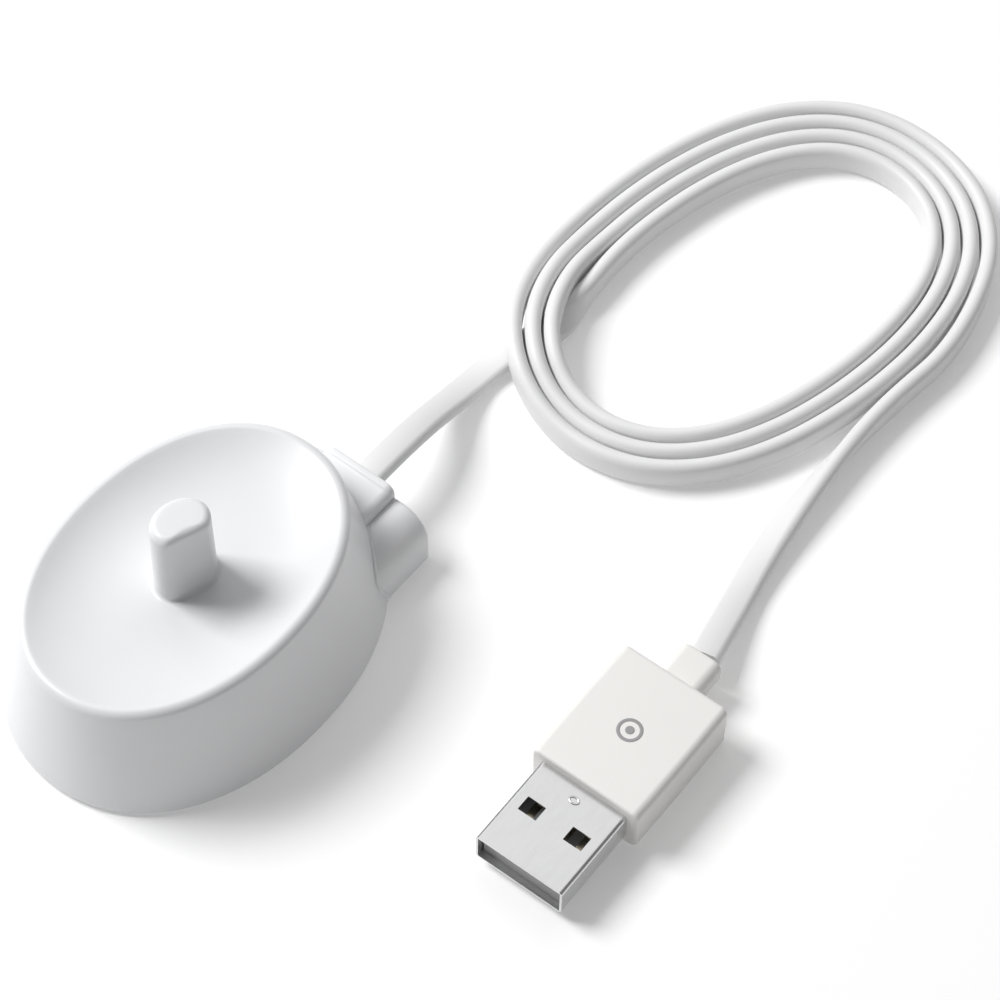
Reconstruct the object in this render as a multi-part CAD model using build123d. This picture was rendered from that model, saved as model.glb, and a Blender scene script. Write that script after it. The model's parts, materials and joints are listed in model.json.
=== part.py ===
"""Charging base of an electric toothbrush, with its flat cord wound in an oval coil and a USB plug.

Millimetres. +Z up, +Y towards the cord outlet, origin on the resting plane under the middle of the base.
"""
from build123d import *
import math
import os

# ---------------------------------------------------------------- driving dimensions
# Base: an oval cup, wide at the floor and narrower at the rim
base_half_width = 19.3
base_half_length = 25.5
base_squareness = 2.14
rim_half_width = 15.5
rim_half_length = 21.8
rim_squareness = 2.10
rim_shift = -0.8
rim_height = 17.3
wall = 1.8
foot_lift = 0.5
rim_round = 0.5

# Dish: the hollow top that the brush handle stands in
dish_floor = 15.0
dish_lip = 1.1
dish_curve = 2.6
dish_shares = (0.30, 0.50, 0.70, 0.85, 0.95, 1.0)
ceiling = 13.0

# Post: the oval peg, flattened on one side, that enters the brush handle
post_top = 26.8
post_half_width = 3.2
post_half_length = 3.9
post_center = (0.1, -0.85)
post_turn = -11.0
post_flat_distance = 2.35
post_flat_normal = -21.0
post_draft = 1.0
post_edge = 1.0
post_corner = 0.9
post_sunk = 0.6

# Coil assembly inside the post
bore_center = (-0.4, -0.9)
bore_radius = 1.95
core_radius = 1.05
bobbin_radius = 1.35
winding_radius = 1.85
bobbin_foot_radius = 4.0
bobbin_foot_height = 1.2
bobbin_flange_height = 0.6
bore_end = 25.6
bore_spare = 0.3

# Closing plate, seal and the screws that hold it
plate_thickness = 1.4
plate_gap = 0.1
step_wall = 1.0
seal_height = 1.0
seal_gap = 0.05
seal_overhang = 0.1
screw_places = [(12.5, 6.5), (-12.5, 6.5), (12.5, -6.5), (-12.5, -6.5)]
screw_tip = 8.0
boss_radius = 2.0
boss_sunk = 0.2
pilot_radius = 0.75
pilot_spare = 3.0
shank_radius = 0.7
head_radius = 1.7
head_gap = 0.1
head_sunk = 0.6
shank_gap = 0.05
cross_length = 2.0
cross_width = 0.45
base_cross_depth = 0.3
board_cross_depth = 0.5
screw_chamfer = 0.3
foot_places = [(8.5, 15.5), (-8.5, 15.5), (8.5, -15.5), (-8.5, -15.5)]
foot_radius = 3.2
foot_recess = 0.7
foot_edge = 0.3

# Circuit board and what is on it
board_half_width = 9.0
board_half_length = 15.6
board_bottom = 5.9
board_thickness = 1.0
board_corner = 3.5
board_screw_reach = 12.6
board_screw_head = 1.1
board_screw_bite = 3.2
film_x = (-7.6, -3.6)
film_y = (-8.5, -1.3)
film_height = 3.6
film_round = 0.5
can_place = (5.4, 6.6)
can_radius = 2.5
can_height = 3.8
can_edge = 0.4
chip_height = 1.5
chip_x = (1.0, 5.0)
chip_y = (-4.0, 1.0)
chip_legs = [-3.4, -2.13, -0.86, 0.41]
transistor_x = (1.2, 5.2)
transistor_y = (-9.6, -7.1)
transistor_legs = [-9.1, -7.6]
leg_length = 0.9
leg_width = 0.4
leg_thickness = 0.3
resistor_x = (-6.8, -5.2)
resistor_width = 0.8
resistor_height = 0.5
resistor_rows = [0.0, 1.6, 3.2, 4.8, 6.4, 8.0]

# Housing behind the base, and the gland plate on it
housing_left = -5.5
housing_right = 14.1
housing_rear = 25.9
housing_front = 8.0
housing_height = 8.2
housing_round = 4.2
housing_edge = 0.6
housing_wall = 1.5
gland_left = -1.3
gland_right = 8.9
gland_bottom = 6.6
gland_top = 10.1
gland_front = 18.0
gland_round = 1.2

# Cord: a flat twin cord
cord_width = 4.1
cord_thickness = 2.05
exit_point = (4.4, 25.9, 8.2)
floor_line = 1.03
edge_line = 2.05
inner_length = 11.0
wire_radius = 0.55
wire_spread = 0.9
wire_length = 1.6
clamp_half_width = 3.2
clamp_reach = (10.0, 8.3)
clamp_below = 2.2
bend_share = 0.45

# Lead: from the gland down to the floor and under the coil
lead_route = [
    exit_point,
    (4.4, 33.9, 8.2),
    (2.4, 46.4, floor_line),
    (3.0, 54.3, floor_line),
]

# Oval coil: the cord winds outward from the lead, clockwise seen from above
coil_center = (21.1, 80.5)
coil_tilt = 79.0
coil_half_length = 26.4
coil_half_width = 15.3
coil_length_growth = 2.3
coil_width_growth = 2.45
coil_squareness = 0.022
coil_outer_turn = 2.9
coil_inner_turn = 0.4

# Tail: from the outside of the coil to the plug
tail_route = [
    (45.4, 98.5, edge_line),
    (46.7, 88.0, edge_line),
    (45.0, 75.0, edge_line),
    (44.9, 61.0, edge_line),
    (45.5, 47.0, edge_line),
    (48.96, 33.0, 3.6),
]

# USB plug, lying flat with its axis along plug_heading
plug_center = (49.2, 18.7)
plug_heading = -89.0
grip_width = 15.0
grip_length = 17.8
grip_thickness = 7.2
grip_round = 0.7
grip_corner = 1.0
collar_width = 5.8
collar_thickness = 3.8
collar_length = 5.2
collar_corner = 1.5
shell_width = 12.0
shell_thickness = 4.5
shell_length = 12.2
shell_buried = 5.0
shell_wall = 0.3
shell_corner = 0.5
window_width = 2.5
window_length = 2.0
window_spread = 3.15
window_from_root = 5.6
tongue_width = 11.1
tongue_thickness = 1.9
tongue_recess = 0.9
tongue_block_gap = 0.5
contact_width = 1.0
contact_places = (-3.5, -1.25, 1.25, 3.5)
contact_recess = 2.1
contact_thickness = 0.2

# How far a cutting shape runs past the face that it cuts, and how finely the ovals are drawn
past = 0.2
oval_points = 32


# ---------------------------------------------------------------- shared shapes
def oval_face(half_width, half_length, squareness, height, shift=0.0):
    """A level, rounded oval: a superellipse drawn as one closed curve."""
    points = []
    for step in range(oval_points):
        angle = 2 * math.pi * step / oval_points
        cosine = math.cos(angle)
        sine = math.sin(angle)
        x = half_width * math.copysign(abs(cosine) ** (2 / squareness), cosine)
        y = half_length * math.copysign(abs(sine) ** (2 / squareness), sine)
        points.append(Vector(x, y + shift, height))
    return Face(Wire([Edge.make_spline(points, periodic=True)]))


def base_face(height, inset=0.0):
    """The base's outline at a height, drawn in by inset."""
    share = height / rim_height
    half_width = base_half_width + (rim_half_width - base_half_width) * share - inset
    half_length = base_half_length + (rim_half_length - base_half_length) * share - inset
    squareness = base_squareness + (rim_squareness - base_squareness) * share
    return oval_face(half_width, half_length, squareness, height, rim_shift * share)


def base_slice(low, high, inset=0.0):
    """The base's tapered solid between two heights."""
    return loft([base_face(low, inset), base_face(high, inset)], ruled=True)


def block(x, y, z):
    """A box from its lower and upper limits along each axis."""
    size = Box(x[1] - x[0], y[1] - y[0], z[1] - z[0])
    return Pos((x[0] + x[1]) / 2, (y[0] + y[1]) / 2, (z[0] + z[1]) / 2) * size


def peg(place, radius, low, high):
    """An upright round peg at a place."""
    return Pos(place[0], place[1], (low + high) / 2) * Cylinder(radius, high - low)


def one_solid(shape):
    """The shape as a single solid."""
    solids = shape.solids()
    if len(solids) != 1:
        print("expected one solid, found", len(solids), [round(s.volume, 3) for s in solids])
    return max(solids, key=lambda solid: solid.volume)


# ---------------------------------------------------------------- base mouldings
plate_top = foot_lift + plate_thickness
seal_top = plate_top + seal_height
board_top = board_bottom + board_thickness
board_screw_places = [(0.0, board_screw_reach), (0.0, -board_screw_reach)]


def post_face(height):
    """The post's section: an oval with one flat side and softened corners."""
    oval = Rot(0, 0, post_turn) * Ellipse(post_half_width, post_half_length)
    size = 4 * post_half_length
    beyond = Pos(post_flat_distance + size / 2, 0) * Rectangle(size, size)
    flat_side = Rot(0, 0, post_flat_normal) * beyond
    section = oval - flat_side
    section = fillet(section.vertices(), post_corner)
    return Pos(post_center[0], post_center[1], height) * section


def dish_cut():
    """The space above the dish: level in the middle, curling up to the rim."""
    sections = []
    for share in dish_shares:
        height = dish_floor + (rim_height - dish_floor) * share ** dish_curve
        half_width = (rim_half_width - dish_lip) * share
        half_length = (rim_half_length - dish_lip) * share
        sections.append(oval_face(half_width, half_length, rim_squareness, height, rim_shift))
    above = oval_face(
        rim_half_width - dish_lip, rim_half_length - dish_lip, rim_squareness, rim_height + past, rim_shift
    )
    return loft(sections + [above], ruled=True)


def cord_slot():
    """The straight space that the cord takes from the gland into the base."""
    x, y, z = exit_point
    section = SlotOverall(cord_width, cord_thickness)
    upright = Pos(x, y + past, z) * (Rot(90, 0, 0) * section)
    return extrude(upright, inner_length + past, dir=(0, -1, 0))


def make_top_shell():
    """Flared wall, rim, dish and hollow post, in one moulding."""
    body = base_slice(foot_lift, rim_height)
    body = fillet(body.edges().group_by(Axis.Z)[-1], rim_round)
    body -= dish_cut()
    post_low = dish_floor - post_sunk
    body += extrude(post_face(post_low), post_top - post_low, taper=post_draft)
    body = fillet(body.faces().sort_by(Axis.Z)[-1].edges(), post_edge)
    body -= base_slice(foot_lift - past, seal_top, step_wall)
    body -= base_slice(seal_top - past, ceiling, wall)
    for place in screw_places:
        body += peg(place, boss_radius, plate_top, ceiling + boss_sunk)
        body -= peg(place, pilot_radius, plate_top - past, ceiling - pilot_spare)
    for place in board_screw_places:
        body += peg(place, boss_radius, board_top, ceiling + boss_sunk)
        body -= peg(place, pilot_radius, board_top - past, ceiling - board_thickness)
    body -= peg(bore_center, bore_radius, ceiling - past, bore_end)
    body -= cord_slot()
    return one_solid(body)


def make_bottom_plate():
    """The plate that closes the base, with screw holes and a recess for each foot."""
    plate = base_slice(foot_lift, plate_top, step_wall + plate_gap)
    for place in screw_places:
        plate -= peg(place, pilot_radius + shank_gap, 0, plate_top + past)
        plate -= peg(place, head_radius + head_gap, 0, foot_lift + head_sunk)
    for place in foot_places:
        plate -= peg(place, foot_radius, 0, foot_lift + foot_recess)
    return one_solid(plate)


def make_seal_ring():
    """The gasket squeezed between the plate and the step in the wall."""
    ring = base_slice(plate_top, seal_top, step_wall + seal_gap)
    ring -= base_slice(plate_top - past, seal_top + past, wall + seal_overhang)
    return one_solid(ring)


def make_feet():
    """Four round rubber feet."""
    feet = []
    for place in foot_places:
        foot = peg(place, foot_radius, 0, foot_lift + foot_recess)
        feet.append(fillet(foot.edges().group_by(Axis.Z)[0], foot_edge))
    return Compound(children=[one_solid(foot) for foot in feet])


def screw(place, head_low, head_high, tip, cross_depth):
    """A pan-head screw pointing up, with a cross recess in its head."""
    body = peg(place, head_radius, head_low, head_high) + peg(place, shank_radius, head_high, tip)
    body = chamfer(body.faces().sort_by(Axis.Z)[-1].edges(), screw_chamfer)
    for turn in (0, 90):
        cross = Rot(0, 0, turn) * Box(cross_length, cross_width, 2 * cross_depth)
        body -= Pos(place[0], place[1], head_low) * cross
    return one_solid(body)


def make_base_screws():
    """The four screws that hold the bottom plate."""
    head_low = foot_lift + shank_gap
    head_high = foot_lift + head_sunk
    screws = [screw(place, head_low, head_high, screw_tip, base_cross_depth) for place in screw_places]
    return Compound(children=screws)


# ---------------------------------------------------------------- inside the base
core_top = bore_end - bore_spare
winding_low = board_top + bobbin_foot_height
winding_high = core_top - bobbin_flange_height


def make_ferrite_core():
    """The rod that carries the field up the post."""
    return one_solid(peg(bore_center, core_radius, board_top, core_top))


def make_coil_bobbin():
    """The winding's former: a foot on the board, a thin tube and a top flange."""
    body = peg(bore_center, bobbin_foot_radius, board_top, winding_low)
    body += peg(bore_center, bobbin_radius, board_top, core_top)
    body += peg(bore_center, winding_radius, winding_high, core_top)
    return one_solid(body - peg(bore_center, core_radius, board_top - past, bore_end))


def make_primary_winding():
    """The copper winding on the bobbin."""
    winding = peg(bore_center, winding_radius, winding_low, winding_high)
    return one_solid(winding - peg(bore_center, bobbin_radius, board_top, bore_end))


def make_circuit_board():
    """The board, hung from two bosses under the dish."""
    board = block(
        (-board_half_width, board_half_width),
        (-board_half_length, board_half_length),
        (board_bottom, board_top),
    )
    board = chamfer(board.edges().filter_by(Axis.Z), board_corner)
    for place in board_screw_places:
        board -= peg(place, pilot_radius + shank_gap, board_bottom - past, board_top + past)
    return one_solid(board)


def make_board_screws():
    """The two screws that hold the board."""
    head_low = board_bottom - board_screw_head
    tip = board_top + board_screw_bite
    screws = [screw(place, head_low, board_bottom, tip, board_cross_depth) for place in board_screw_places]
    return Compound(children=screws)


def make_resonance_capacitor():
    """The film capacitor that tunes the winding."""
    body = block(film_x, film_y, (board_bottom - film_height, board_bottom))
    return one_solid(fillet(body.edges().filter_by(Axis.Z), film_round))


def make_filter_capacitor():
    """The round electrolytic capacitor on the supply."""
    can = peg(can_place, can_radius, board_bottom - can_height, board_bottom)
    return one_solid(fillet(can.edges().group_by(Axis.Z)[0], can_edge))


def chip(x, y, leg_places):
    """A flat chip under the board, with flat legs on both sides."""
    body = block(x, y, (board_bottom - chip_height, board_bottom))
    for place in leg_places:
        leg_y = (place - leg_width / 2, place + leg_width / 2)
        leg_z = (board_bottom - leg_thickness, board_bottom)
        body += block((x[0] - leg_length, x[0]), leg_y, leg_z)
        body += block((x[1], x[1] + leg_length), leg_y, leg_z)
    return one_solid(body)


def make_driver_chip():
    """The eight-legged chip that drives the winding."""
    return chip(chip_x, chip_y, chip_legs)


def make_switch_transistor():
    """The transistor that switches the winding."""
    return chip(transistor_x, transistor_y, transistor_legs)


def make_chip_resistors():
    """Six small resistors in a row."""
    parts = []
    for row in resistor_rows:
        y = (row - resistor_width / 2, row + resistor_width / 2)
        parts.append(one_solid(block(resistor_x, y, (board_bottom - resistor_height, board_bottom))))
    return Compound(children=parts)


def make_supply_wires():
    """The short bare ends of the cord's two cores, past its sheath."""
    x, y, z = exit_point
    wires = []
    for side in (-wire_spread, wire_spread):
        start = Plane((x + side, y - inner_length, z), z_dir=(0, -1, 0))
        wires.append(one_solid(extrude(start * Circle(wire_radius), wire_length)))
    return Compound(children=wires)


def make_inner_cord():
    """The cord's sheathed end, from the gland's face into the base."""
    x, y, z = exit_point
    section = Pos(x, y, z) * (Rot(90, 0, 0) * SlotOverall(cord_width, cord_thickness))
    return one_solid(extrude(section, inner_length, dir=(0, -1, 0)))


# ---------------------------------------------------------------- housing and gland
def make_rear_housing():
    """The squared-off housing behind the oval base, hollow below the gland plate."""
    width = (housing_left, housing_right)
    outer = block(width, (housing_front, housing_rear), (foot_lift, housing_height))
    top_sides = outer.edges().filter_by(Axis.Y).group_by(Axis.Z)[-1]
    outer = fillet(top_sides, housing_round)
    rear_edges = outer.faces().sort_by(Axis.Y)[-1].edges()
    outer = fillet(rear_edges.filter_by(lambda edge: edge.center().Z > foot_lift + past), housing_edge)
    outer -= gland_block(housing_rear + past)
    outer -= cord_slot()
    outer -= base_slice(foot_lift - past, rim_height)
    outer -= block(
        (housing_left + housing_wall, housing_right - housing_wall),
        (housing_front, housing_rear - housing_wall),
        (foot_lift + housing_wall, gland_bottom - housing_wall),
    )
    return one_solid(outer)


def gland_block(rear):
    """The gland plate's outline as far as rear, before the base and the cord's slot are cut."""
    plate = block((gland_left, gland_right), (gland_front, rear), (gland_bottom, gland_top))
    return fillet(plate.edges().filter_by(Axis.Y).group_by(Axis.Z)[-1], gland_round)


def make_gland_plate():
    """The plate that the cord comes out of."""
    plate = gland_block(housing_rear) - base_slice(foot_lift, rim_height)
    return one_solid(plate - cord_slot())


def make_cord_clamp():
    """The bar that grips the cord inside the base."""
    x, y, z = exit_point
    width = (x - clamp_half_width, x + clamp_half_width)
    bar = block(width, (y - clamp_reach[0], y - clamp_reach[1]), (z - clamp_below, ceiling))
    return one_solid(bar - cord_slot())


# ---------------------------------------------------------------- cord
def cord_tube(route, name, across):
    """A flat tube along straight runs joined by arcs as large as the runs allow."""
    points = [Vector(*point) for point in route]
    runs = [points[i + 1] - points[i] for i in range(len(points) - 1)]
    radii = []
    for before, after in zip(runs, runs[1:]):
        half_turn = math.radians(before.get_angle(after)) / 2
        radii.append(bend_share * min(before.length, after.length) / math.tan(half_turn))
    print(name, "runs", [round(run.length, 1) for run in runs], "radii", [round(r, 1) for r in radii])
    path = FilletPolyline(*points, radius=radii)
    section = Plane(points[0], x_dir=across, z_dir=runs[0]) * SlotOverall(cord_width, cord_thickness)
    tube = one_solid(sweep(section, path=path))
    expected = section.area * path.length
    print(name, "length", round(path.length, 1))
    print(name, "volume", round(tube.volume, 1), "expected", round(expected, 1))
    return tube


def coil_face(turn, edge):
    """The closed oval through the coil's centre line at a turn, grown by edge."""
    points = []
    for step in range(oval_points):
        angle = 2 * math.pi * step / oval_points
        bulge = 1 - coil_squareness * math.cos(4 * angle)
        along = (coil_half_length + coil_length_growth * turn + edge) * math.cos(angle) * bulge
        across = (coil_half_width + coil_width_growth * turn + edge) * math.sin(angle) * bulge
        points.append(Vector(along, across, 0))
    oval = Face(Wire([Edge.make_spline(points, periodic=True)]))
    return Pos(coil_center[0], coil_center[1], 0) * (Rot(0, 0, coil_tilt) * oval)


def make_cord_coil():
    """The coil's outer shape: an oval ring as tall as the cord standing on edge."""
    half = cord_thickness / 2
    ring = coil_face(coil_outer_turn, half) - coil_face(coil_inner_turn, -half)
    return one_solid(extrude(ring, cord_width))


# ---------------------------------------------------------------- plug
plug_middle = grip_thickness / 2
grip_front = grip_length / 2
shell_tip = grip_front + shell_length
shell_root = grip_front - shell_buried
inside_width = shell_width - 2 * shell_wall
inside_height = shell_thickness - 2 * shell_wall
tongue_top = tongue_thickness - inside_height / 2


def plug_box(width, low, high, thickness):
    """A block across the plug's axis, from low to high along it; the grip's middle is 0."""
    return Pos(0, (low + high) / 2, 0) * Box(width, high - low, thickness)


def place_on_plug(shape):
    """Moves a shape from the plug's own axes, tip towards +Y, to where the plug lies."""
    return Pos(plug_center[0], plug_center[1], plug_middle) * (Rot(0, 0, plug_heading - 90) * shape)


def make_plug_grip():
    """The moulded grip around the shell's rear."""
    grip = plug_box(grip_width, -grip_front, grip_front, grip_thickness)
    grip = fillet(grip.edges().filter_by(Axis.Y), grip_corner)
    grip = fillet(grip.faces().sort_by(Axis.Y)[0].edges(), grip_round)
    grip -= plug_box(shell_width, shell_root, grip_front + past, shell_thickness)
    return one_solid(place_on_plug(grip))


def make_plug_collar():
    """The short flat strain relief that the cord enters."""
    collar = plug_box(collar_width, -grip_front - collar_length, -grip_front, collar_thickness)
    collar = fillet(collar.edges().filter_by(Axis.Y), collar_corner)
    return one_solid(place_on_plug(collar))


def make_plug_shell():
    """The folded steel shell, with two latch windows on each broad side."""
    shell = plug_box(shell_width, shell_root, shell_tip, shell_thickness)
    shell = fillet(shell.edges().filter_by(Axis.Y), shell_corner)
    shell -= plug_box(inside_width, shell_root - past, shell_tip + past, inside_height)
    for side in (-1, 1):
        window = Box(window_width, window_length, shell_thickness * 2)
        shell -= Pos(side * window_spread, grip_front + window_from_root, 0) * window
    return one_solid(place_on_plug(shell))


def contact_strip(x):
    """One contact lying in the tongue's upper face."""
    strip = plug_box(contact_width, shell_root, shell_tip - contact_recess, contact_thickness)
    return Pos(x, 0, tongue_top - contact_thickness / 2) * strip


def make_plug_tongue():
    """The plastic tongue inside the shell, with its block at the rear."""
    rear = plug_box(inside_width, shell_root, grip_front - tongue_block_gap, inside_height)
    tongue = plug_box(tongue_width, shell_root, shell_tip - tongue_recess, tongue_thickness)
    body = rear + Pos(0, 0, tongue_top - tongue_thickness / 2) * tongue
    for x in contact_places:
        body -= contact_strip(x)
    return one_solid(place_on_plug(body))


def make_plug_contacts():
    """The four gold contacts, let into the tongue."""
    return Compound(children=[one_solid(place_on_plug(contact_strip(x))) for x in contact_places])


# ---------------------------------------------------------------- write the nodes
nodes = {
    "top_shell": make_top_shell,
    "bottom_plate": make_bottom_plate,
    "seal_ring": make_seal_ring,
    "rubber_feet": make_feet,
    "base_screws": make_base_screws,
    "rear_housing": make_rear_housing,
    "gland_plate": make_gland_plate,
    "cord_clamp": make_cord_clamp,
    "inner_cord": make_inner_cord,
    "supply_wires": make_supply_wires,
    "ferrite_core": make_ferrite_core,
    "coil_bobbin": make_coil_bobbin,
    "primary_winding": make_primary_winding,
    "circuit_board": make_circuit_board,
    "board_screws": make_board_screws,
    "resonance_capacitor": make_resonance_capacitor,
    "filter_capacitor": make_filter_capacitor,
    "driver_chip": make_driver_chip,
    "switch_transistor": make_switch_transistor,
    "chip_resistors": make_chip_resistors,
    "cord_lead": lambda: cord_tube(lead_route, "cord_lead", (1, 0, 0)),
    "cord_coil": make_cord_coil,
    "cord_tail": lambda: cord_tube(tail_route, "cord_tail", (0, 0, 1)),
    "plug_grip": make_plug_grip,
    "plug_collar": make_plug_collar,
    "plug_shell": make_plug_shell,
    "plug_tongue": make_plug_tongue,
    "plug_contacts": make_plug_contacts,
}

os.makedirs("parts", exist_ok=True)
for node, make in nodes.items():
    export_step(make(), os.path.join("parts", node + ".step"))
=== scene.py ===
"""Looks of the toothbrush charging base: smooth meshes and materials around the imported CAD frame.

Everything is in metres, in the CAD frame: +Z up, +Y towards the cord outlet, floor at z = 0.
"""
import json
import math

import bmesh
import bpy
from mathutils import Matrix, Vector


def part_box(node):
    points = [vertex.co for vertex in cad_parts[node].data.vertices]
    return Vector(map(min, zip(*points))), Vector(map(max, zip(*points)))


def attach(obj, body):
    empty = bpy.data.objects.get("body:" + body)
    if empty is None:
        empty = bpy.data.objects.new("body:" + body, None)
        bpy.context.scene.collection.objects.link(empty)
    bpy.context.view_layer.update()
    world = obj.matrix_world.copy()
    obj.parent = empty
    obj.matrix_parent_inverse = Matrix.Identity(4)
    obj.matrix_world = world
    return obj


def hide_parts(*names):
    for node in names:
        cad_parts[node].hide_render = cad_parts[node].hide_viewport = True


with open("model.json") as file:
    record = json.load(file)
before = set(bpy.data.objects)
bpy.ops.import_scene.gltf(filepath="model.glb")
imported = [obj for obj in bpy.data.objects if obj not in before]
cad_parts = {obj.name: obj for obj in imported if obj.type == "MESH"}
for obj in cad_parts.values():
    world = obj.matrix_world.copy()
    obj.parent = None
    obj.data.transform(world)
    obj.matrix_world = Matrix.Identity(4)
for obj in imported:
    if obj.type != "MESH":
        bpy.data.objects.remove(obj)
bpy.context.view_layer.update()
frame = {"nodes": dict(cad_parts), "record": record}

MM = 0.001
MICRON = 0.001 * MM

# ---------------------------------------------------------------- camera
camera_target = Vector((15.5, 37.5, 0.0)) * MM
camera_azimuth = 37.25
camera_elevation = 56.53
camera_distance = 422 * MM
camera_roll = 1.25
camera_lens = 126
sensor_width = 36
nearest_seen = 0.01
farthest_seen = 20


def make_camera():
    """A long lens, looking down across the base, with no depth of field."""
    azimuth = math.radians(camera_azimuth)
    elevation = math.radians(camera_elevation)
    back = Vector((math.sin(azimuth), -math.cos(azimuth), 0)) * math.cos(elevation)
    back.z = math.sin(elevation)
    data = bpy.data.cameras.new("camera")
    data.lens = camera_lens
    data.sensor_width = sensor_width
    data.clip_start = nearest_seen
    data.clip_end = farthest_seen
    camera = bpy.data.objects.new("camera", data)
    turn = (-back).to_track_quat("-Z", "Y").to_matrix().to_4x4()
    roll = Matrix.Rotation(math.radians(camera_roll), 4, "Z")
    camera.matrix_world = Matrix.Translation(camera_target + back * camera_distance) @ turn @ roll
    bpy.context.scene.collection.objects.link(camera)
    bpy.context.scene.camera = camera


make_camera()


# ---------------------------------------------------------------- mesh helpers
crease_angle = math.radians(38)


def new_object(name, verts, faces):
    """A mesh object from points and faces, smooth but for its real corners."""
    mesh = bpy.data.meshes.new(name)
    mesh.from_pydata([tuple(v) for v in verts], [], faces)
    work = bmesh.new()
    work.from_mesh(mesh)
    bmesh.ops.recalc_face_normals(work, faces=work.faces)
    work.to_mesh(mesh)
    work.free()
    mesh.shade_smooth()
    mesh.set_sharp_from_angle(angle=crease_angle)
    thing = bpy.data.objects.new(name, mesh)
    bpy.context.scene.collection.objects.link(thing)
    return thing


def skin_rings(name, rings, close_start=True, close_end=True):
    """A closed skin over rings of the same number of points, with a fan at each end."""
    verts = [point for ring in rings for point in ring]
    count = len(rings[0])
    faces = []
    for row in range(len(rings) - 1):
        low = row * count
        for i in range(count):
            j = (i + 1) % count
            faces.append((low + i, low + j, low + count + j, low + count + i))
    if close_start:
        verts.append(sum((Vector(p) for p in rings[0]), Vector()) / count)
        middle = len(verts) - 1
        for i in range(count):
            faces.append((middle, (i + 1) % count, i))
    if close_end:
        verts.append(sum((Vector(p) for p in rings[-1]), Vector()) / count)
        middle = len(verts) - 1
        low = (len(rings) - 1) * count
        for i in range(count):
            faces.append((middle, low + i, low + (i + 1) % count))
    return new_object(name, verts, faces)


# ---------------------------------------------------------------- cord
cord_width = 4.1 * MM
cord_thickness = 2.05 * MM
floor_line = 1.03
edge_line = 2.05

# Lead: the CAD route's points from the gland to the coil, then one more under the coil
lead_route = [
    (4.4, 25.9, 8.2),
    (4.4, 33.9, 8.2),
    (2.4, 46.4, floor_line),
    (3.0, 54.3, floor_line),
    (6.0, 61.0, 1.9),
]

# Oval coil, wound outward and clockwise seen from above
coil_center = (21.1, 80.5)
coil_tilt = math.radians(79.0)
coil_half_length = 26.4
coil_half_width = 15.3
coil_length_growth = 2.3
coil_width_growth = 2.45
coil_squareness = 0.022
coil_start = math.radians(160.0)
coil_first_turn = 0.10
coil_turns = 3.60
points_per_turn = 24
coil_lobes = 4

# Where the turns climb over the lead, and how far
crossing_start = Vector((3.0, 52.5))
crossing_end = Vector((5.0, 61.5))
crossing_lift = 2.3
crossing_flat = 3.0
crossing_ramp = 9.0
turns_under_lead = 0.5

# Tail: from the outside of the coil to the plug
tail_route = [
    (46.1, 87.0, edge_line),
    (45.0, 79.0, edge_line),
    (44.4, 70.0, edge_line),
    (44.5, 60.0, 1.8),
    (45.3, 50.0, 1.35),
    (46.9, 41.5, 1.3),
    (48.96, 33.0, 3.6),
]


def ease(value, low, high):
    """0 below low, 1 above high, with a smooth climb between."""
    share = min(max((value - low) / (high - low), 0), 1)
    return share * share * (3 - 2 * share)


def coil_point(turn):
    """A point on the coil's line after a number of turns, in millimetres."""
    angle = coil_start - 2 * math.pi * turn
    bulge = 1 - coil_squareness * math.cos(coil_lobes * angle)
    along = (coil_half_length + coil_length_growth * turn) * math.cos(angle) * bulge
    across = (coil_half_width + coil_width_growth * turn) * math.sin(angle) * bulge
    x = coil_center[0] + along * math.cos(coil_tilt) - across * math.sin(coil_tilt)
    y = coil_center[1] + along * math.sin(coil_tilt) + across * math.cos(coil_tilt)
    return x, y


def lift_over_lead(x, y):
    """How far a turn is raised where it passes over the lead."""
    run = crossing_end - crossing_start
    offset = Vector((x, y)) - crossing_start
    share = min(max(offset.dot(run) / run.length_squared, 0), 1)
    distance = (offset - run * share).length
    return crossing_lift * (1 - ease(distance, crossing_flat, crossing_flat + crossing_ramp))


def cord_line():
    """The whole cord's control points: lead, coil and tail."""
    points = list(lead_route)
    steps = round((coil_turns - coil_first_turn) * points_per_turn)
    for step in range(steps + 1):
        turn = coil_first_turn + (coil_turns - coil_first_turn) * step / steps
        x, y = coil_point(turn)
        lift = lift_over_lead(x, y) if turn > turns_under_lead else 0
        points.append((x, y, edge_line + lift))
    return points + tail_route


curve_steps = 10


def smooth_line(name, points):
    """Points read along a NURBS curve through the control points, in metres."""
    curve = bpy.data.curves.new(name, "CURVE")
    curve.dimensions = "3D"
    curve.resolution_u = curve_steps
    spline = curve.splines.new("NURBS")
    spline.points.add(len(points) - 1)
    for spot, point in zip(spline.points, points):
        spot.co = (*(Vector(point) * MM), 1)
    spline.order_u = 3
    spline.use_endpoint_u = True
    holder = bpy.data.objects.new(name, curve)
    bpy.context.scene.collection.objects.link(holder)
    read = bpy.data.meshes.new_from_object(holder)
    line = [v.co.copy() for v in read.vertices]
    bpy.data.objects.remove(holder)
    bpy.data.meshes.remove(read)
    return line


def lengths_along(line):
    """Distance from the start at each point of a line."""
    total = [0.0]
    for before, after in zip(line, line[1:]):
        total.append(total[-1] + (after - before).length)
    return total


# Where the flat cord turns on edge, from its start, and where it lies flat again, before its end
stand_up = (32 * MM, 45 * MM)
lie_down = (46 * MM, 8 * MM)
section_points = 28
nearly_zero = 1e-6


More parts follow.
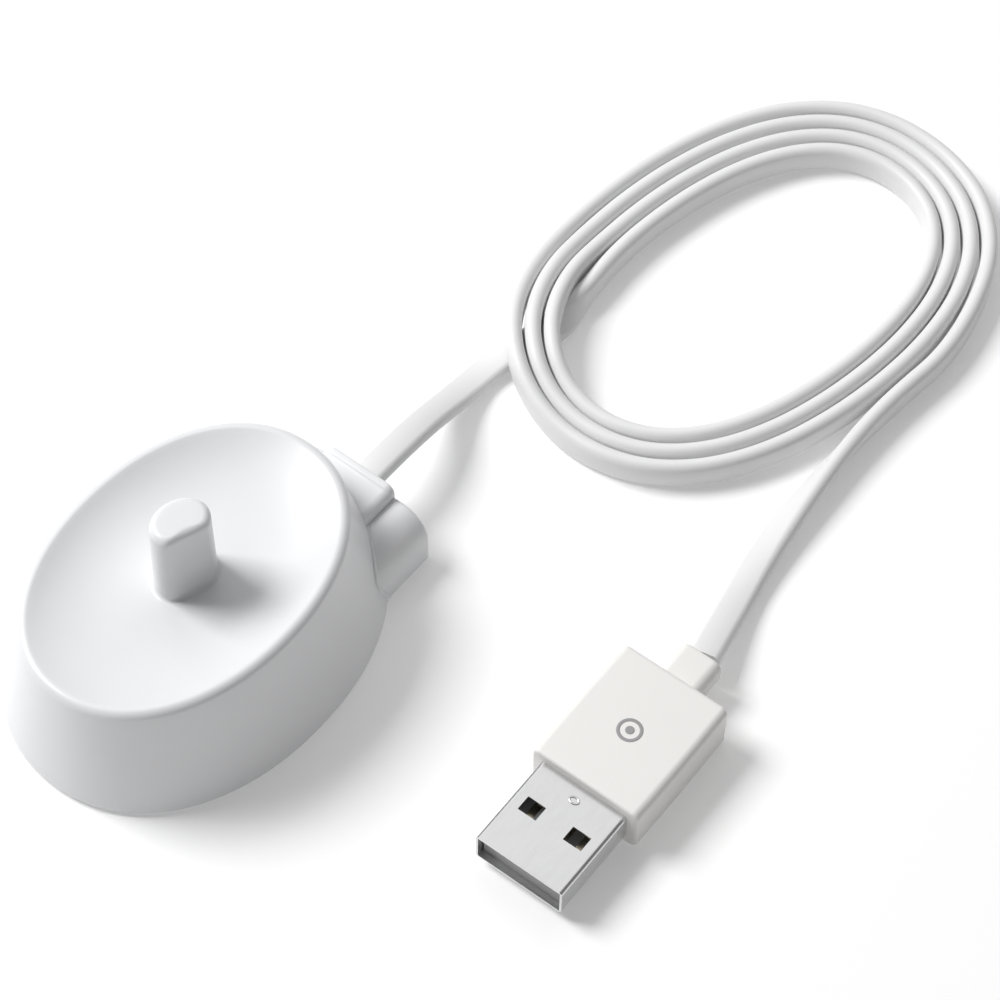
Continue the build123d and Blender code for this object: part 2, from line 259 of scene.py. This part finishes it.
def make_cord():
    """The flat cord: level at both ends, standing on edge in the coil."""
    line = smooth_line("cord_line", cord_line())
    run = lengths_along(line)
    whole = run[-1]
    half_core = (cord_width - cord_thickness) / 2
    rings = []
    for i, point in enumerate(line):
        ahead = (line[min(i + 1, len(line) - 1)] - line[max(i - 1, 0)]).normalized()
        side = ahead.cross(Vector((0, 0, 1))).normalized()
        up = side.cross(ahead)
        turned = ease(run[i], *stand_up) - ease(run[i], whole - lie_down[0], whole - lie_down[1])
        roll = -turned * math.pi / 2
        wide = side * math.cos(roll) + up * math.sin(roll)
        thin = up * math.cos(roll) - side * math.sin(roll)
        ring = []
        for k in range(section_points):
            angle = 2 * math.pi * k / section_points
            shift = half_core if math.cos(angle) > 0 else -half_core
            if abs(math.cos(angle)) < nearly_zero:
                shift = 0
            x = shift + cord_thickness / 2 * math.cos(angle)
            y = cord_thickness / 2 * math.sin(angle)
            ring.append(point + wide * x + thin * y)
        rings.append(ring)
    cord = skin_rings("cord", rings)
    return cord, line, whole


cord, cord_path, cord_length = make_cord()
print("cord length", round(cord_length, 4))


# ---------------------------------------------------------------- materials
noise_low = 0.3
noise_high = 0.7
drift_scale = 60
smudge_scale = 180
polish_scale = 90
plastic_ior = 1.5
coat_roughness = 0.08


def grey(value):
    """A neutral colour."""
    return (value, value, value)


def nodes_of(name):
    """A new material, its node tree and its shader."""
    material = bpy.data.materials.new(name)
    material.use_nodes = True
    tree = material.node_tree
    return material, tree, tree.nodes["Principled BSDF"]


def noise(tree, scale, detail=4, roughness=0.55):
    """A noise texture in object coordinates."""
    where = tree.nodes.new("ShaderNodeTexCoord")
    texture = tree.nodes.new("ShaderNodeTexNoise")
    texture.inputs["Scale"].default_value = scale
    texture.inputs["Detail"].default_value = detail
    texture.inputs["Roughness"].default_value = roughness
    tree.links.new(where.outputs["Object"], texture.inputs["Vector"])
    return texture


def spread(tree, source, low, high):
    """The source's usual range spread over low to high."""
    ramp = tree.nodes.new("ShaderNodeMapRange")
    ramp.inputs["From Min"].default_value = noise_low
    ramp.inputs["From Max"].default_value = noise_high
    ramp.inputs["To Min"].default_value = low
    ramp.inputs["To Max"].default_value = high
    ramp.clamp = False
    tree.links.new(source, ramp.inputs["Value"])
    return ramp.outputs["Result"]


def tint(tree, source, low, high):
    """A colour between low and high by the source."""
    mix = tree.nodes.new("ShaderNodeMix")
    mix.data_type = "RGBA"
    mix.inputs["A"].default_value = (*low, 1)
    mix.inputs["B"].default_value = (*high, 1)
    tree.links.new(spread(tree, source, 0, 1), mix.inputs["Factor"])
    return mix.outputs["Result"]


def bump(tree, source, height):
    """A bump of that height, in metres, from the source."""
    node = tree.nodes.new("ShaderNodeBump")
    node.inputs["Strength"].default_value = 1.0
    node.inputs["Distance"].default_value = height
    tree.links.new(source, node.inputs["Height"])
    return node.outputs["Normal"]


def plastic(name, low, high, rough, grain, height, coat=0.0):
    """Moulded plastic: faint colour drift, uneven gloss and a fine surface grain."""
    material, tree, shader = nodes_of(name)
    drift = noise(tree, drift_scale, 3).outputs["Fac"]
    tree.links.new(tint(tree, drift, low, high), shader.inputs["Base Color"])
    smudge = noise(tree, smudge_scale, 5).outputs["Fac"]
    tree.links.new(spread(tree, smudge, rough[0], rough[1]), shader.inputs["Roughness"])
    texture = noise(tree, grain, 2)
    tree.links.new(bump(tree, texture.outputs["Fac"], height), shader.inputs["Normal"])
    shader.inputs["IOR"].default_value = plastic_ior
    shader.inputs["Coat Weight"].default_value = coat
    shader.inputs["Coat Roughness"].default_value = coat_roughness
    return material


def metal(name, low, high, rough, grain, stretch, height):
    """Plated metal: brushed grain along one way, with uneven polish."""
    material, tree, shader = nodes_of(name)
    texture = noise(tree, grain, 4)
    scale = tree.nodes.new("ShaderNodeMapping")
    scale.inputs["Scale"].default_value = stretch
    where = texture.inputs["Vector"].links[0].from_socket
    tree.links.new(where, scale.inputs["Vector"])
    tree.links.new(scale.outputs["Vector"], texture.inputs["Vector"])
    tree.links.new(tint(tree, texture.outputs["Fac"], low, high), shader.inputs["Base Color"])
    cloud = noise(tree, polish_scale, 3).outputs["Fac"]
    tree.links.new(spread(tree, cloud, rough[0], rough[1]), shader.inputs["Roughness"])
    tree.links.new(bump(tree, texture.outputs["Fac"], height), shader.inputs["Normal"])
    shader.inputs["Metallic"].default_value = 1.0
    return material


materials = {
    "shell_plastic": plastic(
        "gloss_white", (0.765, 0.77, 0.785), (0.785, 0.79, 0.80), (0.30, 0.36), 1200, 2 * MICRON, 0.1
    ),
    "cord_sheath": plastic("cord_white", grey(0.78), grey(0.80), (0.42, 0.50), 2500, 5 * MICRON),
    "grip_plastic": plastic(
        "grip_white", (0.82, 0.81, 0.79), (0.835, 0.825, 0.805), (0.45, 0.52), 3000, 6 * MICRON
    ),
    "foot_rubber": plastic("foot_grey", grey(0.30), grey(0.36), (0.65, 0.85), 2500, 30 * MICRON),
    "seal_silicone": plastic(
        "seal_grey", (0.52, 0.52, 0.51), (0.58, 0.58, 0.57), (0.5, 0.6), 1500, 10 * MICRON
    ),
    "screw_steel": metal(
        "screw_zinc", (0.50, 0.50, 0.51), (0.66, 0.66, 0.67), (0.25, 0.45), 900, (1, 1, 8), 6 * MICRON
    ),
    "plug_nickel": metal(
        "nickel_plate", (0.69, 0.69, 0.695), (0.72, 0.72, 0.725), (0.25, 0.31), 400, (4, 1, 1), 0.6 * MICRON
    ),
    "contact_gold": metal(
        "gold_flash", (0.80, 0.72, 0.55), (0.88, 0.80, 0.62), (0.18, 0.30), 900, (8, 1, 1), 3 * MICRON
    ),
    "tongue_plastic": plastic(
        "tongue_grey", (0.30, 0.30, 0.305), (0.34, 0.34, 0.345), (0.4, 0.55), 1500, 10 * MICRON
    ),
    "board_laminate": plastic(
        "board_green", (0.03, 0.16, 0.07), (0.04, 0.20, 0.09), (0.25, 0.4), 700, 10 * MICRON
    ),
    "chip_epoxy": plastic(
        "chip_black", (0.02, 0.02, 0.022), (0.035, 0.035, 0.037), (0.45, 0.6), 2500, 10 * MICRON
    ),
    "capacitor_case": plastic(
        "capacitor_blue", (0.05, 0.12, 0.30), (0.07, 0.15, 0.36), (0.3, 0.45), 900, 10 * MICRON
    ),
    "resistor_ceramic": plastic("resistor_black", grey(0.02), grey(0.06), (0.3, 0.4), 2500, 5 * MICRON),
    "winding_copper": metal(
        "copper_wire", (0.62, 0.26, 0.10), (0.80, 0.38, 0.18), (0.2, 0.35), 400, (1, 1, 30), 40 * MICRON
    ),
    "ferrite": plastic(
        "ferrite_black", (0.03, 0.028, 0.028), (0.05, 0.048, 0.048), (0.5, 0.7), 2500, 20 * MICRON
    ),
    "bobbin_plastic": plastic(
        "bobbin_cream", (0.60, 0.56, 0.44), (0.66, 0.62, 0.50), (0.4, 0.5), 1500, 10 * MICRON
    ),
    "wire_sheath": plastic(
        "wire_red", (0.40, 0.02, 0.02), (0.48, 0.03, 0.03), (0.3, 0.45), 1500, 10 * MICRON
    ),
    "inner_plastic": plastic(
        "inner_white", (0.64, 0.65, 0.66), (0.70, 0.71, 0.72), (0.4, 0.55), 2000, 10 * MICRON
    ),
}


def dress(thing, slot_name):
    """Gives a new piece its material and slot."""
    thing.data.materials.clear()
    thing.data.materials.append(materials[slot_name])


def dress_cad_nodes():
    """Puts the procedural materials on every CAD node, by its record slot."""
    for part in frame["record"]["subparts"]:
        node = frame["nodes"][part["node"]]
        for place in node.material_slots:
            place.material = materials[part["material_slot"]]


dress_cad_nodes()

# ---------------------------------------------------------------- base shell
shell_low, shell_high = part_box("top_shell")
base_half_width = 19.3 * MM
base_half_length = 25.5 * MM
base_squareness = 2.14
rim_half_width = 15.5 * MM
rim_half_length = 21.8 * MM
rim_squareness = 2.10
rim_shift = -0.8 * MM
rim_height = 17.3 * MM
foot_lift = shell_low.z
post_top = shell_high.z
dish_floor = 15.0 * MM
lip_radius = 0.85 * MM
lip_turn = math.radians(112)
dish_curve = 2.6
hem_radius = 0.4 * MM
step_wall = 1.0 * MM
wall = 1.8 * MM
seal_top = 2.9 * MM
ceiling = 13.0 * MM
bore_center = Vector((-0.4, -0.9, 0)) * MM
bore_radius = 1.95 * MM
bore_end = 25.6 * MM
post_center = Vector((0.1, -0.85, 0)) * MM
post_half_width = 3.2 * MM
post_half_length = 3.9 * MM
post_turn = math.radians(-11)
post_flat_distance = 2.35 * MM
post_flat_normal = math.radians(-21)
post_foot_radius = 0.5 * MM
post_edge_radius = 1.0 * MM
post_draft = math.tan(math.radians(1.0))
stations = 192
corner_power = 14
bevel = 0.2 * MM
hollow_round = 0.3 * MM
hem_steps = 6
wall_steps = 12
lip_steps = 12
dish_steps = 30
dish_spacing = 1.35
post_steps = 8
post_edge_steps = 10
post_cap_shares = (0.66, 0.33, 0.1)


def oval_point(half_width, half_length, squareness, height, shift, angle):
    """A point of a level superellipse."""
    cosine = math.cos(angle)
    sine = math.sin(angle)
    x = half_width * math.copysign(abs(cosine) ** (2 / squareness), cosine)
    y = half_length * math.copysign(abs(sine) ** (2 / squareness), sine)
    return Vector((x, y + shift, height))


def wall_size(height):
    """The outline's half width, half length, squareness and shift at a height."""
    share = height / rim_height
    half_width = base_half_width + (rim_half_width - base_half_width) * share
    half_length = base_half_length + (rim_half_length - base_half_length) * share
    squareness = base_squareness + (rim_squareness - base_squareness) * share
    return half_width, half_length, squareness, rim_shift * share


def wall_point(height, inset, angle):
    """A point of the base's outline at a height, drawn in by inset."""
    half_width, half_length, squareness, shift = wall_size(height)
    return oval_point(half_width - inset, half_length - inset, squareness, height, shift, angle)


def wall_ring(height, inset=0.0):
    """A ring of wall points."""
    return [wall_point(height, inset, 2 * math.pi * k / stations) for k in range(stations)]


def post_radius(angle):
    """The post's radius: an oval met by one flat, with a soft corner between."""
    local = angle - post_turn
    oval = 1 / math.hypot(math.cos(local) / post_half_width, math.sin(local) / post_half_length)
    facing = math.cos(angle - post_flat_normal)
    if facing < 0.05:
        return oval
    flat = post_flat_distance / facing
    return (oval ** -corner_power + flat ** -corner_power) ** (-1 / corner_power)


def post_ring(grow, height):
    """A ring round the post, grown outward by grow."""
    ring = []
    for k in range(stations):
        angle = 2 * math.pi * k / stations
        radius = post_radius(angle) + grow
        ring.append(post_center + Vector((radius * math.cos(angle), radius * math.sin(angle), height)))
    return ring


def bore_ring(radius, height):
    """A ring of the bore inside the post."""
    ring = []
    for k in range(stations):
        angle = 2 * math.pi * k / stations
        ring.append(bore_center + Vector((radius * math.cos(angle), radius * math.sin(angle), height)))
    return ring


def blend_rings(outer, inner, share, height):
    """A ring part of the way from one ring to another, at a height."""
    ring = []
    for a, b in zip(outer, inner):
        point = a.lerp(b, share)
        point.z = height
        ring.append(point)
    return ring


def make_base_shell():
    """Wall, rim, dish and post in one closed skin, with the hollow under them."""
    rings = [bore_ring(bore_radius * 0.5, bore_end)]
    rings.append(bore_ring(bore_radius, bore_end))
    rings.append(bore_ring(bore_radius, bore_end - bevel))
    rings.append(bore_ring(bore_radius, ceiling + bevel))
    rings.append(bore_ring(bore_radius, ceiling))
    rings.append(wall_ring(ceiling, wall + hollow_round))
    rings.append(wall_ring(ceiling, wall))
    rings.append(wall_ring(ceiling - hollow_round, wall))
    rings.append(wall_ring(seal_top, wall))
    rings.append(wall_ring(seal_top, step_wall))
    rings.append(wall_ring(foot_lift, step_wall))
    for step in range(hem_steps + 1):
        turn = math.pi / 2 * step / hem_steps
        height = foot_lift + hem_radius * (1 - math.cos(turn))
        rings.append(wall_ring(height, hem_radius * (1 - math.sin(turn))))
    low = foot_lift + hem_radius
    high = rim_height - lip_radius
    for step in range(1, wall_steps + 1):
        rings.append(wall_ring(low + (high - low) * step / wall_steps))
    for step in range(1, lip_steps + 1):
        turn = lip_turn * step / lip_steps
        height = high + lip_radius * math.sin(turn)
        rings.append(wall_ring(height, lip_radius * (1 - math.cos(turn))))
    lip = rings[-1]
    edge_height = lip[0].z
    foot = post_ring(post_foot_radius, dish_floor)
    for step in range(1, dish_steps + 1):
        share = 1 - (1 - step / dish_steps) ** dish_spacing
        height = dish_floor + (edge_height - dish_floor) * (1 - share) ** dish_curve
        rings.append(blend_rings(lip, foot, share, height))
    for step in range(1, post_steps + 1):
        turn = math.pi / 2 * step / post_steps
        height = dish_floor + post_foot_radius * (1 - math.cos(turn))
        rings.append(post_ring(post_foot_radius * (1 - math.sin(turn)), height))
    low = dish_floor + post_foot_radius
    high = post_top - post_edge_radius
    for step in range(1, post_steps + 1):
        height = low + (high - low) * step / post_steps
        rings.append(post_ring(-post_draft * (height - low), height))
    inset = post_draft * (high - low)
    for step in range(1, post_edge_steps + 1):
        turn = math.pi / 2 * step / post_edge_steps
        height = high + post_edge_radius * math.sin(turn)
        rings.append(post_ring(-inset - post_edge_radius * (1 - math.cos(turn)), height))
    top_middle = post_center + Vector((0, 0, post_top))
    cap = post_ring(-inset - post_edge_radius, post_top)
    for share in post_cap_shares:
        rings.append([top_middle + (point - top_middle) * share for point in cap])
    return skin_rings("base_shell", rings)


base_shell = make_base_shell()
dress(base_shell, "shell_plastic")
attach(base_shell, "root")
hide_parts("top_shell")

# ---------------------------------------------------------------- plug
grip_low, grip_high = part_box("plug_grip")
plug_center = (grip_low + grip_high) / 2
plug_heading = math.radians(-89.0)
plug_turn = Matrix.Translation(plug_center) @ Matrix.Rotation(plug_heading - math.pi / 2, 4, "Z")
grip_width = 15.0 * MM
grip_length = 17.8 * MM
grip_thickness = grip_high.z - grip_low.z
shell_width = 12.0 * MM
shell_thickness = 4.5 * MM
shell_buried = 5.0 * MM
shell_corner = 0.5 * MM
grip_rear_round = 0.7 * MM
grip_front_round = 0.4 * MM
grip_corner = 1.0 * MM
grip_fullness = 0.10 * MM
cap_share = 0.3
cap_corner = 0.4 * MM
rear_steps = 8
side_steps = 16
front_steps = 6


def on_plug(piece):
    """Moves a piece from the plug's own axes, tip towards +Y, to where the plug lies."""
    piece.data.transform(plug_turn)
    return piece


def rounded_ring(width, height, corner, along, count=96):
    """A rounded rectangle across the plug's axis, with evenly turning corners."""
    ring = []
    quarter = count // 4
    for k in range(4):
        cx = (width / 2 - corner) * (1 if k in (0, 3) else -1)
        cz = (height / 2 - corner) * (1 if k in (0, 1) else -1)
        for step in range(quarter):
            angle = math.pi / 2 * (k + step / (quarter - 1))
            ring.append(Vector((cx + corner * math.cos(angle), along, cz + corner * math.sin(angle))))
    return ring


def grip_ring(along, inset):
    """The grip's section at a place along it, fullest halfway."""
    full = grip_fullness * (1 - (along / (grip_length / 2)) ** 2)
    width = grip_width - 2 * inset - 2 * grip_fullness + 2 * full
    return rounded_ring(width, grip_thickness - 2 * inset, grip_corner - inset, along)


def make_plug_grip():
    """The grip: soft ends, gently full sides and a pocket that the steel shell sits in."""
    half = grip_length / 2
    rings = [rounded_ring(grip_width * cap_share, grip_thickness * cap_share, cap_corner, -half)]
    for step in range(rear_steps, -1, -1):
        turn = math.pi / 2 * step / rear_steps
        along = -half + grip_rear_round * (1 - math.sin(turn))
        rings.append(grip_ring(along, grip_rear_round * (1 - math.cos(turn))))
    low = -half + grip_rear_round
    high = half - grip_front_round
    for step in range(1, side_steps + 1):
        rings.append(grip_ring(low + (high - low) * step / side_steps, 0))
    for step in range(1, front_steps + 1):
        turn = math.pi / 2 * step / front_steps
        along = half - grip_front_round * (1 - math.sin(turn))
        rings.append(grip_ring(along, grip_front_round * (1 - math.cos(turn))))
    rings.append(rounded_ring(shell_width, shell_thickness, shell_corner, half))
    rings.append(rounded_ring(shell_width, shell_thickness, shell_corner, half - shell_buried))
    return on_plug(skin_rings("grip_body", rings))


grip_body = make_plug_grip()
dress(grip_body, "grip_plastic")
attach(grip_body, "root")
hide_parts("plug_grip")

collar_width = 5.8 * MM
collar_thickness = 3.8 * MM
collar_length = 5.2 * MM
collar_corner = 1.3 * MM
collar_edge = 0.4 * MM
collar_overlap = 0.5 * MM
mouth_depth = 0.9 * MM
mouth_corner = 0.9 * MM
mouth_gap = 0.1 * MM
mouth_flare = 0.5 * MM
flare_corner = 1.1 * MM
collar_edge_steps = 6
collar_steps = 8


def make_plug_collar():
    """The flat strain relief, with a lip round the cord's mouth."""
    rear = -grip_length / 2 - collar_length
    front = -grip_length / 2 + collar_overlap
    deep = rear + mouth_depth
    rings = [rounded_ring(cord_width, cord_thickness, mouth_corner, deep)]
    rings.append(rounded_ring(cord_width + mouth_gap, cord_thickness + mouth_gap, mouth_corner, deep))
    rings.append(rounded_ring(cord_width + mouth_flare, cord_thickness + mouth_flare, flare_corner, rear))
    for step in range(collar_edge_steps, -1, -1):
        turn = math.pi / 2 * step / collar_edge_steps
        inset = collar_edge * (1 - math.cos(turn))
        along = rear + collar_edge * (1 - math.sin(turn))
        width = collar_width - 2 * inset
        rings.append(rounded_ring(width, collar_thickness - 2 * inset, collar_corner - inset, along))
    for step in range(1, collar_steps + 1):
        along = rear + collar_edge + (front - rear - collar_edge) * step / collar_steps
        rings.append(rounded_ring(collar_width, collar_thickness, collar_corner, along))
    return on_plug(skin_rings("collar_body", rings))


collar_body = make_plug_collar()
dress(collar_body, "grip_plastic")
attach(collar_body, "root")
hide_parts("plug_collar")


band_around = 64
band_across = 12
dot_points = 40
dot_profile = ((1.0, -0.4), (1.0, 0.5), (0.93, 0.9), (0.8, 1.0), (0.4, 1.0))


def ring_band(name, radius_x, radius_y, half_width, height, middle, base):
    """A low rounded band round an oval, lying on a level face of the plug."""
    rings = []
    for k in range(band_around):
        angle = 2 * math.pi * k / band_around
        outward = Vector((math.cos(angle), math.sin(angle), 0))
        line = Vector((middle[0] + radius_x * outward.x, middle[1] + radius_y * outward.y, base))
        ring = []
        for step in range(band_across):
            turn = 2 * math.pi * step / band_across
            rise = Vector((0, 0, height * math.sin(turn)))
            ring.append(line + outward * half_width * math.cos(turn) + rise)
        rings.append(ring)
    verts = [point for ring in rings for point in ring]
    faces = []
    for k in range(band_around):
        for step in range(band_across):
            a = k * band_across + step
            b = k * band_across + (step + 1) % band_across
            c = (k + 1) % band_around * band_across + (step + 1) % band_across
            d = (k + 1) % band_around * band_across + step
            faces.append((a, b, c, d))
    return on_plug(new_object(name, verts, faces))


def flat_dot(name, radius, height, middle, base):
    """A low round dot on a level face of the plug."""
    rings = []
    for share, rise in dot_profile:
        ring = []
        for k in range(dot_points):
            angle = 2 * math.pi * k / dot_points
            ring.append(
                Vector((middle[0], middle[1], base))
                + Vector((radius * share * math.cos(angle), radius * share * math.sin(angle), height * rise))
            )
        rings.append(ring)
    return on_plug(skin_rings(name, rings))


grip_face = grip_thickness / 2
mark_place = (0, 0.3 * MM)
mark_radius = 1.35 * MM
mark_half_width = 0.22 * MM
mark_height = 0.05 * MM
dot_radius = 0.55 * MM
mark_ring = ring_band(
    "mark_ring", mark_radius, mark_radius, mark_half_width, mark_height, mark_place, grip_face
)
mark_dot = flat_dot("mark_dot", dot_radius, mark_height, mark_place, grip_face)
for piece in (mark_ring, mark_dot):
    dress(piece, "foot_rubber")
    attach(piece, "root")

dimple_out = 1.9 * MM
dimple_half_width = 0.6 * MM
dimple_half_length = 0.4 * MM
dimple_band = 0.13 * MM
dimple_height = 0.09 * MM
dimple_place = (0, grip_length / 2 + dimple_out)
dimple = ring_band(
    "shell_dimple", dimple_half_width, dimple_half_length, dimple_band, dimple_height,
    dimple_place, shell_thickness / 2,
)
dress(dimple, "plug_nickel")
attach(dimple, "root")

# ---------------------------------------------------------------- gland plate
gland_low, gland_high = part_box("gland_plate")
gland_top_round = 1.2 * MM
gland_low_round = 0.3 * MM
gland_front = 19.0 * MM
band_width = 0.9 * MM
band_step = 0.3 * MM
band_ramp = 0.3 * MM
gland_edge = 0.25 * MM
gland_corner_steps = 8
gland_steps = 10
gland_edge_steps = 5
gland_edge_share = 0.09


def gland_ring(along, drop):
    """The plate's section at a place along Y: round above, nearly square below."""
    top = gland_high.z - drop
    ring = []
    corners = (
        (gland_high.x - gland_top_round, top - gland_top_round, gland_top_round, 0),
        (gland_low.x + gland_top_round, top - gland_top_round, gland_top_round, 1),
        (gland_low.x + gland_low_round, gland_low.z + gland_low_round, gland_low_round, 2),
        (gland_high.x - gland_low_round, gland_low.z + gland_low_round, gland_low_round, 3),
    )
    for x, z, radius, quarter in corners:
        for step in range(gland_corner_steps + 1):
            angle = math.pi / 2 * (quarter + step / gland_corner_steps)
            ring.append(Vector((x + radius * math.cos(angle), along, z + radius * math.sin(angle))))
    return ring


def shrunk(ring, share, along):
    """A ring drawn in towards its middle and set at a place along Y."""
    middle = sum(ring, Vector()) / len(ring)
    points = [middle + (point - middle) * share for point in ring]
    for point in points:
        point.y = along
    return points


def make_gland_cover():
    """The plate that the cord leaves by, with a raised band along its rear edge."""
    rear = gland_high.y
    band = rear - band_width
    low_end = band - band_ramp
    rings = [shrunk(gland_ring(gland_front, band_step), 0.4, gland_front)]
    for step in range(gland_steps + 1):
        rings.append(gland_ring(gland_front + (low_end - gland_front) * step / gland_steps, band_step))
    rings.append(gland_ring(band - 0.4 * band_ramp, band_step * 0.75))
    rings.append(gland_ring(band, band_step * 0.2))
    rings.append(gland_ring(band + 0.5 * band_ramp, 0))
    rings.append(gland_ring(rear - gland_edge, 0))
    for step in range(1, gland_edge_steps + 1):
        turn = math.pi / 2 * step / gland_edge_steps
        drawn = 1 - gland_edge_share * (1 - math.cos(turn))
        rings.append(shrunk(gland_ring(rear, 0), drawn, rear - gland_edge + gland_edge * math.sin(turn)))
    rings.append(shrunk(gland_ring(rear, 0), 0.5, rear))
    return skin_rings("gland_cover", rings)


gland_cover = make_gland_cover()
dress(gland_cover, "shell_plastic")
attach(gland_cover, "root")
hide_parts("gland_plate")

# ---------------------------------------------------------------- bead where the housing meets the wall
housing_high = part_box("rear_housing")[1]
housing_round = 4.2 * MM
bead_radius = 0.32 * MM
bead_sunk = 0.12 * MM
bead_points = 16
bead_side_steps = 10
bead_turn_steps = 16
bead_end = 0.5 * MM


def wall_line(x, z):
    """The point of the base's rear wall at a place across and a height."""
    half_width, half_length, squareness, shift = wall_size(z)
    y = half_length * (1 - abs(x / half_width) ** squareness) ** (1 / squareness)
    return Vector((x, y + shift, z))


def make_housing_bead():
    """A fine bead along the housing's side and shoulder, where it meets the wall."""
    side = housing_high.x - bead_sunk
    top = housing_high.z - bead_sunk
    rise = top - housing_round - foot_lift
    line = [wall_line(side, foot_lift + rise * step / bead_side_steps) for step in range(bead_side_steps)]
    for step in range(bead_turn_steps + 1):
        turn = math.pi / 2 * step / bead_turn_steps
        x = side - housing_round * (1 - math.cos(turn))
        z = top - housing_round * (1 - math.sin(turn))
        line.append(wall_line(x, z))
    line.append(wall_line(gland_high.x - bead_end, top))
    rings = []
    for i, point in enumerate(line):
        ahead = (line[min(i + 1, len(line) - 1)] - line[max(i - 1, 0)]).normalized()
        side_way = ahead.cross(Vector((0, 1, 0))).normalized()
        out = side_way.cross(ahead)
        ring = []
        for k in range(bead_points):
            angle = 2 * math.pi * k / bead_points
            ring.append(point + bead_radius * (side_way * math.cos(angle) + out * math.sin(angle)))
        rings.append(ring)
    return skin_rings("housing_bead", rings)


housing_bead = make_housing_bead()
dress(housing_bead, "shell_plastic")
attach(housing_bead, "root")

# ---------------------------------------------------------------- cord on its body
dress(cord, "cord_sheath")
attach(cord, "root")
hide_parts("cord_lead", "cord_coil", "cord_tail")


# ---------------------------------------------------------------- floor and light
floor_reach = 3.0
floor_grey = 0.82
floor_glow = 0.2
world_strength = 0.2
light_aim = (0.015, 0.035, 0)


def make_floor():
    """A large pale floor."""
    reach = floor_reach
    corners = [(-reach, -reach, 0), (reach, -reach, 0), (reach, reach, 0), (-reach, reach, 0)]
    floor = new_object("floor", corners, [(0, 1, 2, 3)])
    material, tree, shader = nodes_of("floor_white")
    shader.inputs["Base Color"].default_value = (*grey(floor_grey), 1)
    shader.inputs["Emission Color"].default_value = (1, 1, 1, 1)
    shader.inputs["Emission Strength"].default_value = floor_glow
    shader.inputs["Specular IOR Level"].default_value = 0.1
    texture = noise(tree, 8, 2).outputs["Fac"]
    tree.links.new(spread(tree, texture, 0.7, 0.8), shader.inputs["Roughness"])
    floor.data.materials.append(material)


def make_light(name, place, aim, size, power):
    """A square soft box aimed at a point."""
    data = bpy.data.lights.new(name, "AREA")
    data.size = size
    data.energy = power
    light = bpy.data.objects.new(name, data)
    light.location = place
    light.rotation_mode = "QUATERNION"
    light.rotation_quaternion = (Vector(aim) - Vector(place)).to_track_quat("-Z", "Y")
    bpy.context.scene.collection.objects.link(light)


def make_world():
    """Even white surroundings."""
    world = bpy.data.worlds.new("world")
    world.use_nodes = True
    background = world.node_tree.nodes["Background"]
    background.inputs["Color"].default_value = (1, 1, 1, 1)
    background.inputs["Strength"].default_value = world_strength
    bpy.context.scene.world = world


make_floor()
make_world()
make_light("key", (-0.66, -0.17, 0.84), light_aim, 0.45, 11.4)
make_light("back", (-0.40, 0.58, 1.05), light_aim, 1.2, 3.6)
bpy.context.scene.view_settings.view_transform = "Standard"
